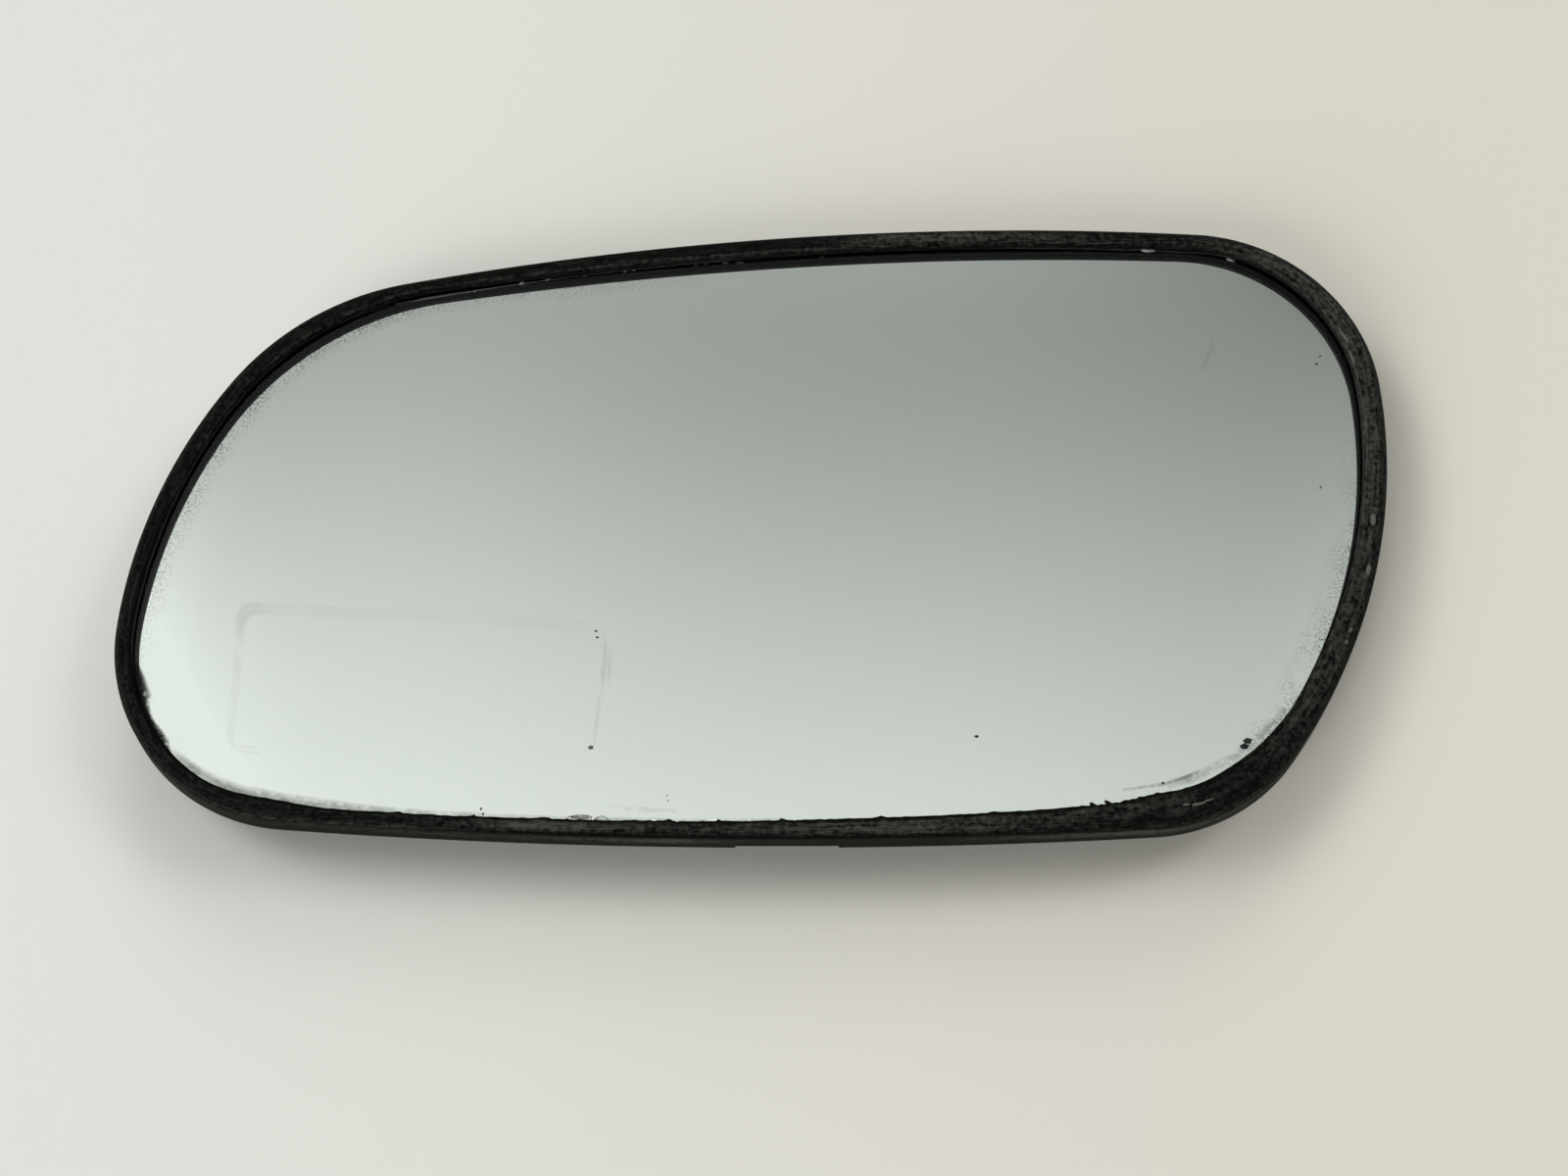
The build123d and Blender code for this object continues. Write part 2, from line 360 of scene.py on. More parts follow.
def lip_raggedness():
    """How far the lip's edge stands over the glass at each angle: two rough lines, squared, times the wear's
    raggedness, and the burrs, as bell shapes."""
    edge = window_points(ANGLES, 0.0)
    fine = sum(rough_line(LENGTH, spacing, seed) ** 2 * height for spacing, height, seed in ROUGH_LINES)
    ragged = around(RAGGED, ANGLES) * fine
    for x, height, half_width in BURRS:
        ragged += np.where(edge[:, 1] < 0, height * np.exp(-((edge[:, 0] - x) / half_width) ** 2), 0.0)
    return ragged


def rim_skin():
    """Worn skin of the rim: a closed profile carried round the outline, up the side wall, round the front
    edge, across the lip, over its ragged inner edge down to the glass, and back inside the solid. Each row
    has its height over the lip's front and its chalk, which also carries painted light: a highlight line on
    the front edge, the floor's reflection and shade on the side wall, and light on the upper inner face."""
    rim_at_skin = rim_points(ANGLES, -SKIN)
    in_notch = (np.abs(rim_at_skin[:, 0] - NOTCH_X) < NOTCH_WIDTH / 2) & (rim_at_skin[:, 1] < 0)
    foot = np.where(in_notch, NOTCH_DEPTH + 2 * SKIN, BACK_EDGE_BEVEL) - RIM_DEPTH
    glass_front = SKIN - LIP_CLEARANCE - LIP_THICKNESS
    inner_chalk, outer_chalk, edge_painted_highlight, wall_chalk_and_reflection = (
        around(amounts, ANGLES) for amounts in (INNER_CHALK, OUTER_CHALK, EDGE_PAINTED_HIGHLIGHT, WALL_CHALK_AND_REFLECTION))
    top = np.maximum(0, np.sin(ANGLES))
    facing = np.maximum(0, np.cos(ANGLES - np.radians(FACE_CHALK_DEG)))
    face_chalk = inner_chalk * facing ** FACE_CHALK_FADE
    # Along the top the inner face is painted lighter: painted light where light falls on it
    top_face_light = np.maximum(TOP_FACE_LIGHT_LEAST, TOP_FACE_LIGHT_SHARE * inner_chalk)
    face_chalk_and_light = face_chalk + top_face_light * np.sqrt(top)
    bare = FRONT_EDGE_BARE + FRONT_EDGE_BARER * top
    ragged = lip_raggedness()
    waver = (rough_line(LENGTH, WAVER_SPACING, WAVER_SEED) - 0.5) * WAVER_HEIGHT
    rows, chalk = [], []

    def row(points, rise, greyness):
        rows.append(lifted(points, LIP_FRONT_RADIUS, rise))
        chalk.append(greyness * np.ones(len(ANGLES)))

    def edge_points(inset):
        points = window_points(ANGLES, inset)
        return points * (1 - ragged / np.linalg.norm(points, axis=1))[:, None]

    # The wall's grey is chalk together with a painted reflection of the pale floor, and it is left dark at
    # the foot as painted shade
    for share in np.linspace(0, 1, WALL_ROWS + 1)[:-1]:
        rise = foot + share * (-FRONT_EDGE_ROUND - foot)
        row(rim_at_skin, rise, wall_chalk_and_reflection * np.clip((share - WALL_SHADED_FOOT) / WALL_SHADE_FADE, 0, 1))
    front = FRONT_EDGE_ROUND + SKIN
    for turn in np.linspace(0, np.pi / 2, FRONT_EDGE_ROWS):
        points = rim_points(ANGLES, FRONT_EDGE_ROUND - front * np.cos(turn))
        upper = np.maximum(0, np.sin(turn) - bare) / (1 - bare)
        # line is a painted highlight: a band of grey along the rounding where it catches the light
        line = np.exp(-((turn - HIGHLIGHT_LINE_TURN) / HIGHLIGHT_LINE_WIDTH) ** 2)
        row(points, front * np.sin(turn) - FRONT_EDGE_ROUND, outer_chalk * upper + edge_painted_highlight * line)
    outer, inner = rim_points(ANGLES, FRONT_EDGE_ROUND), edge_points(-LIP_EDGE_ROUND)
    for share in np.linspace(0, 1, LIP_ROWS + 2)[1:-1]:
        lip_chalk = outer_chalk + (inner_chalk - outer_chalk) * share
        kept = min(1, (1 - share) / LIP_CHALK_END)
        row(outer + (inner - outer) * share, SKIN + waver * np.sin(np.pi * share),
            np.maximum(lip_chalk * kept, face_chalk))
    edge = LIP_EDGE_ROUND + SKIN
    for turn in np.linspace(np.pi / 2, 0, LIP_EDGE_ROWS):
        points = edge_points(edge * np.cos(turn) - LIP_EDGE_ROUND)
        row(points, edge * np.sin(turn) - LIP_EDGE_ROUND, face_chalk_and_light)
    for depth, share in INNER_FACE_ROWS:
        row(edge_points(SKIN), -depth, face_chalk_and_light * share)
    row(edge_points(SKIN), glass_front, 0.0)
    row(window_points(ANGLES, -HIDDEN_UNDER_LIP), glass_front, 0.0)
    row(window_points(ANGLES, -HIDDEN_BEHIND_WINDOW), -HIDDEN_BEHIND_FRONT, 0.0)
    row(rim_points(ANGLES, HIDDEN_BEHIND_EDGE), -HIDDEN_BEHIND_FRONT, 0.0)
    row(rim_points(ANGLES, HIDDEN_BEHIND_WALL), -FRONT_EDGE_ROUND, 0.0)
    row(rim_points(ANGLES, HIDDEN_BEHIND_WALL), foot, 0.0)
    grid = np.array(rows)[::-1]
    steps = np.linalg.norm(np.diff(grid, axis=0, append=grid[:1]), axis=-1).mean(axis=1)
    across = np.concatenate([[0], np.cumsum(steps)])
    # The chalk attribute holds chalk together with the painted highlight, reflection, shade and light
    extra = {"chalk": np.array(chalk)[::-1][None]}
    return grid_mesh("rim_skin", grid[None], wrap_rows=True, extra=extra, uv=(across, LENGTH))


# Silver, films and lumps

# Rings of the silver: how far in from the edge of the glass in mm, and the shares of the last of these that
# lead to the middle, at every fifth angle
SILVER_INSETS = np.concatenate([[0.3, 0.8], np.linspace(1.5, 9.0, 16)])
SILVER_SHARES = np.linspace(0.9, 0.01, 12)
SILVER_STRIDE = 5

# Films in mm: how far they stand off what carries them, how thick they are, and the points of their section,
# as quarters of the width from the left and shares of the thickness, over the top and back below
FILM_RISE = 0.004
FILM_THICKNESS = 0.012
FILM_ACROSS = np.array([0, 1, 2, 3, 4, 3, 2, 1])
FILM_HEIGHTS = np.array([0.5, 1, 1, 1, 0.5, 0, 0, 0])

# Cover of a strip over its width, steps for each given place, and how often its path is smoothed
STRIP_FADE = [0, 0.6, 1, 0.6, 0]
STRIP_STEPS = 12
STRIP_SMOOTHING = 8

# Film along the lip: steps for each given place, and how far it reaches under the lip in mm
EDGE_STEPS = 24
EDGE_TUCK = 0.05

# Lumps: points round each, the climb of their rings, and how far their outline waves in and out
LUMP_POINTS = 10
LUMP_CLIMBS = np.array([0.0, 0.4, 0.75]) * np.pi / 2
LUMP_WAVE = (0.75, 1.15)


def silver_layer():
    """Silvering: rings from the middle of the glass out to its edge just inside its back face, and back again
    a little lower, with the distance from the lip and the amount of dark spots at each point."""
    angles = ANGLES[::SILVER_STRIDE]
    edge_rings = [rim_points(angles, GLASS_INSET + inset) for inset in SILVER_INSETS]
    inner_rings = [edge_rings[-1] * share for share in SILVER_SHARES]
    rings = np.array((edge_rings + inner_rings)[::-1])
    lip = np.linalg.norm(window_points(angles, 0.0), axis=1)
    from_lip = lip - np.linalg.norm(rings, axis=-1)
    front = lifted(rings, GLASS_BACK_RADIUS, SILVER_RISE)
    back = lifted(rings, GLASS_BACK_RADIUS, SILVER_RISE / 2)
    spots = np.broadcast_to(around(SILVER_LOSS, angles), from_lip.shape)
    extra = {"from_lip_mm": np.concatenate([from_lip, from_lip[::-1]])[None],
             "spots": np.concatenate([spots, spots[::-1]])[None]}
    return grid_mesh("silver_layer", np.concatenate([front, back[::-1]])[None], caps=True, extra=extra)


def film(name, left, right, cover, radius, thickness):
    """Thin film between two lines of points x, y on the sphere of that radius: a flat ring of eight points,
    over the top from left to right and back below, carried along. cover says how thick it lies, at five
    places from left to right for each point of the lines."""
    ground = left[:, None] + (right - left)[:, None] * (FILM_ACROSS / 4)[:, None]
    grid = lifted(ground, radius, FILM_RISE + thickness * FILM_HEIGHTS)
    return grid_mesh(name, grid[None], caps=True, extra={"cover": cover[:, FILM_ACROSS][None]})


def strip(name, places, radius=MIRROR_CURVE_RADIUS, thickness=FILM_THICKNESS):
    """Film along a smoothed path of places x, y, width and cover, thick along its middle and thin at its
    sides."""
    places = np.array(places)
    knots = np.arange(len(places))
    share = np.linspace(0, knots[-1], STRIP_STEPS * len(places))
    x, y, width, cover = (np.interp(share, knots, column) for column in places.T)
    line = np.stack([x, y], axis=-1)
    for _ in range(STRIP_SMOOTHING):
        line[1:-1] = (line[:-2] + 2 * line[1:-1] + line[2:]) / 4
    ahead = np.gradient(line, axis=0)
    leftward = np.stack([-ahead[:, 1], ahead[:, 0]], axis=-1) / np.linalg.norm(ahead, axis=1)[:, None]
    reach = leftward * width[:, None] / 2
    return film(name, line + reach, line - reach, cover[:, None] * STRIP_FADE, radius, thickness)


def edge_film(name, places, fade, thickness=FILM_THICKNESS):
    """Film on the glass along the lip's inner edge, for places of degrees round the rim, width and cover.
    fade says how its cover changes over its width, at five steps from the lip inwards."""
    degrees, widths, covers = np.array(places)[::-1].T
    knots = np.arange(len(degrees))
    share = np.linspace(0, knots[-1], EDGE_STEPS * len(degrees))
    angles, width, cover = (
        np.interp(share, knots, column) for column in (np.radians(degrees), widths, covers))
    edge = window_points(angles, -EDGE_TUCK)
    ahead = np.gradient(edge, axis=0)
    inward = np.stack([ahead[:, 1], -ahead[:, 0]], axis=-1) / np.linalg.norm(ahead, axis=1)[:, None]
    reach = edge + inward * width[:, None]
    return film(name, edge, reach, cover[:, None] * fade, MIRROR_CURVE_RADIUS, thickness)


def lumps(name, places, radius, seed, lean=0.0):
    """Low lumps: half ellipsoids x, y, half length, half width, height, turn in degrees and tone from dark 0
    to pale 1, on the sphere of that radius, with a wavy outline, three rings of ten points and a cap each.
    lean says by what share the one long side stands higher and the other lower."""
    x, y, length, width, height, turn, tone = np.array(places).T[:, :, None, None]
    climb = LUMP_CLIMBS[None, :, None]
    angle = np.linspace(0, 2 * np.pi, LUMP_POINTS, endpoint=False)[None, None, :]
    wave = np.random.default_rng(seed).uniform(*LUMP_WAVE, (len(places), 1, LUMP_POINTS))
    along = length * np.cos(climb) * np.cos(angle) * wave
    aside = width * np.cos(climb) * np.sin(angle) * wave
    turn = np.radians(turn)
    ground = np.stack([x + along * np.cos(turn) - aside * np.sin(turn),
                       y + along * np.sin(turn) + aside * np.cos(turn)], axis=-1)
    leaning = 1 + lean * np.cos(climb) * np.sin(angle)
    grid = lifted(ground, radius, FILM_RISE + height * np.sin(climb) * leaning)
    return grid_mesh(name, grid, caps=True, extra={"tone": tone})


silver = silver_layer()
skin = rim_skin()

# Marks: x, y, half length, half width, height in mm, turn in degrees and tone. Dark specks and a pale one on
# the glass, crumbs on the lip's lower edge, flakes, glints and pits in the silver under the glass, the flakes
# painted pale as painted highlights where glints show, and rubbed places on the lip's right side and lower
# right corner
SPECKS_AND_PAINTED_GLINT = [
    (64.6, -30.3, 0.68, 0.44, 0.18, 20, 0.0), (-21.45, -15.45, 0.22, 0.17, 0.06, 0, 0.3),
    (-36.0, -39.9, 0.22, 0.14, 0.10, 80, 0.2), (-11.7, -38.2, 0.12, 0.10, 0.04, 0, 0.5),
    # The second speck on the next line, pale, lies inside the film curl: a painted highlight on its clear
    # film
    (77.4, 25.7, 0.28, 0.14, 0.03, 20, 0.25), (-23.0, -41.15, 1.30, 0.20, 0.05, 0, 0.95),
]
CRUMBS = [
    (-24.3, -41.6, 0.22, 0.14, 0.12, 0, 1.0), (-21.25, -41.7, 0.24, 0.22, 0.12, 0, 1.0),
    (-13.3, -41.9, 0.45, 0.17, 0.12, 0, 1.0), (-10.3, -42.05, 0.25, 0.10, 0.12, 0, 0.9),
    (-5.75, -41.9, 0.70, 0.19, 0.12, 0, 1.0), (-0.9, -41.9, 0.32, 0.16, 0.12, 0, 1.0),
    (2.4, -41.88, 1.10, 0.08, 0.12, 0, 0.9), (4.9, -41.85, 0.28, 0.15, 0.12, 0, 1.0),
]
# Flakes of sealant at the upper lip's foot, painted pale for the glints they show: painted highlights
PAINTED_GLINT_FLAKES = [
    (-39.4, 35.55, 0.30, 0.14, 0.01, 20, 0.5), (-32.9, 36.65, 0.45, 0.22, 0.01, 18, 1.0),
    (-29.3, 37.2, 0.38, 0.15, 0.01, 16, 0.55), (-24.0, 37.75, 0.40, 0.12, 0.01, 14, 0.25),
    (-18.6, 38.35, 0.34, 0.12, 0.01, 12, 0.35), (-17.3, 38.5, 0.26, 0.12, 0.01, 12, 0.35),
    (-8.7, 39.3, 0.20, 0.12, 0.01, 9, 0.3), (-7.3, 39.45, 0.26, 0.14, 0.01, 9, 0.35),
    (-4.6, 39.65, 0.50, 0.12, 0.01, 6, 0.25), (-2.6, 39.75, 0.60, 0.12, 0.01, 5, 0.25),
    (8.8, 40.55, 0.30, 0.12, 0.01, 4, 0.15), (50.9, 42.05, 0.30, 0.12, 0.01, -2, 0.15),
]
GLINTS = [(54.4, 42.15, 1.30, 0.34, 0.17, -3, 1.0), (65.8, 40.9, 0.85, 0.24, 0.13, -18, 0.8)]
PITS = [
    (-21.85, -31.18, 0.38, 0.28, 0.01, 0, 0.5), (28.92, -29.64, 0.26, 0.24, 0.01, 0, 0.15),
    (53.35, -35.8, 0.24, 0.18, 0.01, 15, 0.2), (76.5, 6.5, 0.30, 0.16, 0.01, 70, 0.8),
]
SCUFFS = [
    (83.0, 0.9, 0.95, 0.40, 0.02, 82, 1.0), (81.9, -6.3, 0.90, 0.38, 0.02, 76, 1.0),
    (79.0, -15.0, 0.50, 0.22, 0.02, 68, 1.0), (78.3, -16.7, 0.35, 0.20, 0.02, 66, 1.0),
    (80.6, 28.4, 1.60, 0.20, 0.02, 118, 1.0), (81.6, 25.0, 1.30, 0.20, 0.02, 108, 1.0),
    (57.6, -39.4, 1.10, 0.20, 0.02, 14, 1.0), (58.9, -38.9, 0.90, 0.16, 0.02, 18, 1.0),
    (56.0, -39.5, 0.60, 0.18, 0.02, 8, 1.0),
]
CRUMB_SINK = 0.12
GLINT_LEAN = 0.9
specks = lumps("glass_specks_and_painted_glint", SPECKS_AND_PAINTED_GLINT, MIRROR_CURVE_RADIUS, seed=31)
crumbs = lumps("sealant_crumbs", CRUMBS, LIP_FRONT_RADIUS - CRUMB_SINK, seed=32)
flakes = lumps("painted_glint_flakes", PAINTED_GLINT_FLAKES, SILVER_RADIUS, seed=35)
glints = lumps("silver_glints", GLINTS, SILVER_RADIUS, seed=36, lean=GLINT_LEAN)
pits = lumps("silver_pits", PITS, SILVER_RADIUS, seed=34)
scuffs = lumps("lip_scuffs", SCUFFS, LIP_FRONT_RADIUS + SKIN, seed=33)

# Adhesive left by a label that is gone, as x, y, width and cover along its sides
residue = [
    strip("label_residue_top", [
        (-69.4, -16.0, 1.0, 0.3), (-69.3, -14.3, 1.3, 0.7), (-69.2, -12.6, 1.4, 0.9),
        (-68.7, -11.6, 1.4, 1.0), (-67.6, -11.2, 1.3, 1.0), (-65.5, -11.25, 1.2, 0.6),
        (-61.9, -11.6, 1.1, 0.5), (-56.6, -11.9, 1.1, 0.4), (-50.0, -12.2, 1.1, 0.3),
        (-46.1, -12.5, 1.1, 0.25), (-35.6, -13.2, 1.1, 0.25), (-26.0, -14.0, 1.1, 0.45),
        (-21.6, -14.3, 0.9, 0.4)]),
    strip("label_residue_left", [
        (-69.4, -16.0, 1.0, 0.3), (-69.4, -21.2, 1.1, 0.5), (-69.6, -26.0, 0.9, 0.3),
        (-69.7, -28.5, 0.8, 0.8), (-69.8, -30.3, 0.9, 1.0), (-68.4, -30.9, 0.8, 0.8),
        (-65.9, -31.2, 0.7, 0.5)]),
    strip("label_residue_right", [
        (-20.3, -15.8, 0.6, 0.4), (-20.2, -17.7, 0.7, 1.0), (-20.5, -21.8, 0.7, 0.9),
        (-20.8, -23.6, 0.6, 0.25), (-21.0, -25.8, 0.6, 0.7), (-21.3, -28.4, 0.5, 0.6),
        (-21.5, -30.6, 0.5, 0.4)]),
    strip("label_residue_aside", [
        (-19.6, -17.8, 0.5, 0.4), (-19.6, -19.3, 0.6, 0.9), (-19.8, -22.5, 0.5, 0.3)]),
]

# Scratches and haze in the silver, the low haze a little above the scratch that it crosses
HAZE_RISE = 0.02
scratches = [
    strip("silver_scratch_low", [
        (47.9, -36.8, 0.5, 0.15), (50.5, -36.4, 0.6, 0.25), (53.7, -35.9, 0.7, 0.35),
        (56.5, -34.9, 0.7, 0.5), (58.2, -34.1, 0.6, 0.2)], SILVER_RADIUS),
    strip("silver_scratch_high", [
        (63.1, 29.0, 0.9, 0.02), (62.2, 26.6, 1.1, 0.07), (61.1, 23.7, 1.0, 0.06)], SILVER_RADIUS),
    strip("silver_haze_low", [
        (54.0, -36.4, 0.8, 0.12), (56.8, -35.3, 1.5, 0.25), (58.6, -34.4, 1.5, 0.2),
        (63.2, -32.0, 1.6, 0.2), (67.0, -28.9, 1.8, 0.28), (70.0, -25.3, 1.4, 0.28)],
        SILVER_RADIUS + HAZE_RISE),
    strip("silver_haze_middle", [
        (-19.4, -39.3, 0.6, 0.05), (-15.0, -39.7, 1.0, 0.1), (-10.5, -39.9, 0.8, 0.05)], SILVER_RADIUS),
]

# Dirt on the glass along the lip, as degrees, width and cover, and its fade from the lip inwards
SMEAR_FADE = (0.15, 0.6, 1.0, 0.7, 0.0)
CRUST_FADE = (1.0, 0.95, 0.75, 0.35, 0.0)
CRUST_THICKNESS = 0.08
smear = edge_film("edge_smear", [
    (201.5, 0.6, 0.3), (203.5, 1.4, 0.8), (207, 1.8, 0.9), (211, 2.4, 1.0), (215, 1.8, 0.9), (219, 1.3, 0.8),
    (226, 1.1, 0.7), (234, 1.0, 0.7), (250, 0.9, 0.7), (262, 0.8, 0.4), (275, 0.8, 0.5)], SMEAR_FADE)
crust = edge_film("edge_crust", [
    (191.8, 0.1, 0.3), (192.8, 0.6, 0.8), (193.8, 1.15, 1.0), (195.0, 1.4, 1.0), (195.8, 1.5, 0.95),
    (196.5, 0.9, 0.9), (197.5, 0.7, 0.9), (198.6, 0.7, 0.9), (199.5, 1.0, 1.0), (200.7, 1.1, 0.9),
    (201.4, 0.5, 0.8), (202.0, 0.1, 0.3)], CRUST_FADE, CRUST_THICKNESS)

# Curl of torn film at the lip's lower edge, as x, y, width and cover
CURL_THICKNESS = 0.12
curls = [
    strip("film_curl", [
        (-24.95, -41.5, 0.2, 1.0), (-24.3, -41.0, 0.25, 1.0), (-23.0, -40.85, 0.25, 1.0),
        (-21.8, -40.95, 0.2, 1.0), (-21.1, -41.5, 0.2, 1.0)], thickness=CURL_THICKNESS),
    strip("film_curl_end", [
        (-21.1, -41.5, 0.2, 1.0), (-20.5, -41.0, 0.2, 0.9), (-19.9, -41.0, 0.2, 0.8),
        (-19.3, -41.5, 0.2, 0.7)], thickness=CURL_THICKNESS),
]

for piece in [silver, pits, flakes, glints, *scratches, *residue]:
    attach(piece, "root")
for piece in [skin, specks, crumbs, scuffs, smear, crust, *curls]:
    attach(piece, "root")


# Materials

# Patterns in mm: length and width of the chalk's streaks, then the widths of its blotches and flecks, of the
# mould's grain and the dust on it, of the foam's cells, of the stipple's dots and drifts in the silver, and
# of the dust on the glass
STREAK_LENGTH = 4.0
STREAK_WIDTH = 0.4
BLOTCH_WIDTH = 0.7
FLECK_WIDTH = 0.5
GRAIN_WIDTH = 0.35
PLASTIC_DUST_WIDTH = 9.0
CELL_WIDTH = 0.5
DOT_WIDTH = 0.32
DRIFT_WIDTH = 5.0
GLASS_DUST_WIDTH = 3.0

# How much further the streaks and blotches spread where the chalk is full, and the power of chalk to colour
CHALK_SPREAD = 0.28
CHALK_POWER = 0.5

# Distance from the lip in mm at which the silver's dark stipple starts to thin out, and ends
STIPPLE_FULL = 0.3
STIPPLE_END = 4.0

# How far the tone of crumbs wanders to each side
GRAIN_TONE = 0.12


def per_metre(width_mm):
    """Texture scale, in cycles per metre, of a pattern whose features are that many millimetres wide."""
    return 1 / (width_mm * MM)


def weathered_polypropylene():
    """Black polypropylene, moulded and then bleached by the weather: almost no gloss, and grey chalk that
    spreads in streaks along the rim and in blotches, from a few flecks where the chalk is thin to a cover
    with dark cracks where it is thick. The same grey also paints a highlight line on the front edge, the
    floor's reflection and shade on the side wall and light on the upper inner face."""
    made, tree, shader = material("weathered_polypropylene", Specular_IOR_Level=0.014)
    along = node(tree, "ShaderNodeUVMap", uv_map="along_rim_mm")
    stretched = node(tree, "ShaderNodeMapping", {
        "Vector": along.outputs[0], "Scale": (1 / STREAK_LENGTH, 1 / STREAK_WIDTH, 1.0)})
    streaks = node(tree, "ShaderNodeTexNoise", {
        "Vector": stretched.outputs[0], "Scale": 1.0, "Detail": 5.0, "Roughness": 0.6})
    place = node(tree, "ShaderNodeTexCoord").outputs["Object"]
    blotches = node(tree, "ShaderNodeTexNoise", {
        "Vector": place, "Scale": per_metre(BLOTCH_WIDTH), "Detail": 5.0, "Roughness": 0.6})
    flecks = node(tree, "ShaderNodeTexNoise", {
        "Vector": place, "Scale": per_metre(FLECK_WIDTH), "Detail": 2.0})
    fleck = node(tree, "ShaderNodeMapRange", {
        "Value": flecks.outputs["Fac"], "From Min": 0.62, "From Max": 0.72, "To Max": 0.4})
    chalk = node(tree, "ShaderNodeAttribute", attribute_name="chalk")
    both = node(tree, "ShaderNodeMath", {
        0: streaks.outputs["Fac"], 1: blotches.outputs["Fac"]}, operation="ADD")
    spread = node(tree, "ShaderNodeMath", {
        0: chalk.outputs["Fac"], 1: CHALK_SPREAD, 2: both.outputs[0]}, operation="MULTIPLY_ADD")
    cover = node(tree, "ShaderNodeMapRange", {"Value": spread.outputs[0], "From Min": 0.95, "From Max": 1.31})
    broken = node(tree, "ShaderNodeMath", {0: cover.outputs[0], 1: fleck.outputs[0]}, operation="ADD")
    depth = node(tree, "ShaderNodeMath", {0: chalk.outputs["Fac"], 1: CHALK_POWER}, operation="POWER")
    amount = node(tree, "ShaderNodeMath", {0: broken.outputs[0], 1: depth.outputs[0]}, operation="MULTIPLY")
    colour = node(tree, "ShaderNodeMix", {
        "Factor": amount.outputs[0], "A": linear("#0B0C09"), "B": linear("#4E4F4A")}, data_type="RGBA")
    tree.links.new(colour.outputs["Result"], shader.inputs["Base Color"])
    rough = node(tree, "ShaderNodeMapRange", {"Value": amount.outputs[0], "To Min": 0.45, "To Max": 0.85})
    tree.links.new(rough.outputs[0], shader.inputs["Roughness"])
    bump = node(tree, "ShaderNodeBump", {
        "Height": both.outputs[0], "Strength": 0.6, "Distance": 0.08 * MM})
    tree.links.new(bump.outputs[0], shader.inputs["Normal"])
    return made


def moulded_polypropylene():
    """Black polypropylene as it left the mould: a fine eroded grain that keeps its gloss low, a little
    dusty."""
    made, tree, shader = material("moulded_polypropylene", Specular_IOR_Level=0.12)
    place = node(tree, "ShaderNodeTexCoord").outputs["Object"]
    grain = node(tree, "ShaderNodeTexNoise", {
        "Vector": place, "Scale": per_metre(GRAIN_WIDTH), "Detail": 2.0})
    dust = node(tree, "ShaderNodeTexNoise", {
        "Vector": place, "Scale": per_metre(PLASTIC_DUST_WIDTH), "Detail": 5.0})
    colour = node(tree, "ShaderNodeMix", {
        "Factor": dust.outputs["Fac"], "A": linear("#0C0D0B"), "B": linear("#20201E")}, data_type="RGBA")
    tree.links.new(colour.outputs["Result"], shader.inputs["Base Color"])
    rough = node(tree, "ShaderNodeMapRange", {"Value": dust.outputs["Fac"], "To Min": 0.42, "To Max": 0.7})
    tree.links.new(rough.outputs[0], shader.inputs["Roughness"])
    bump = node(tree, "ShaderNodeBump", {
        "Height": grain.outputs["Fac"], "Strength": 0.35, "Distance": 0.05 * MM})
    tree.links.new(bump.outputs[0], shader.inputs["Normal"])
    return made


def polyethylene_foam():
    """Black polyethylene foam tape: matt, with cut cells about half a millimetre wide."""
    made, tree, shader = material("polyethylene_foam", Roughness=0.95, Specular_IOR_Level=0.2)
    place = node(tree, "ShaderNodeTexCoord").outputs["Object"]
    cells = node(tree, "ShaderNodeTexVoronoi", {"Vector": place, "Scale": per_metre(CELL_WIDTH)})
    colour = node(tree, "ShaderNodeMix", {
        "Factor": cells.outputs["Distance"], "A": linear("#1B1B1C"), "B": linear("#343436")},
        data_type="RGBA")
    tree.links.new(colour.outputs["Result"], shader.inputs["Base Color"])
    bump = node(tree, "ShaderNodeBump", {
        "Height": cells.outputs["Distance"], "Strength": 0.6, "Distance": 0.2 * MM})
    tree.links.new(bump.outputs[0], shader.inputs["Normal"])
    return made


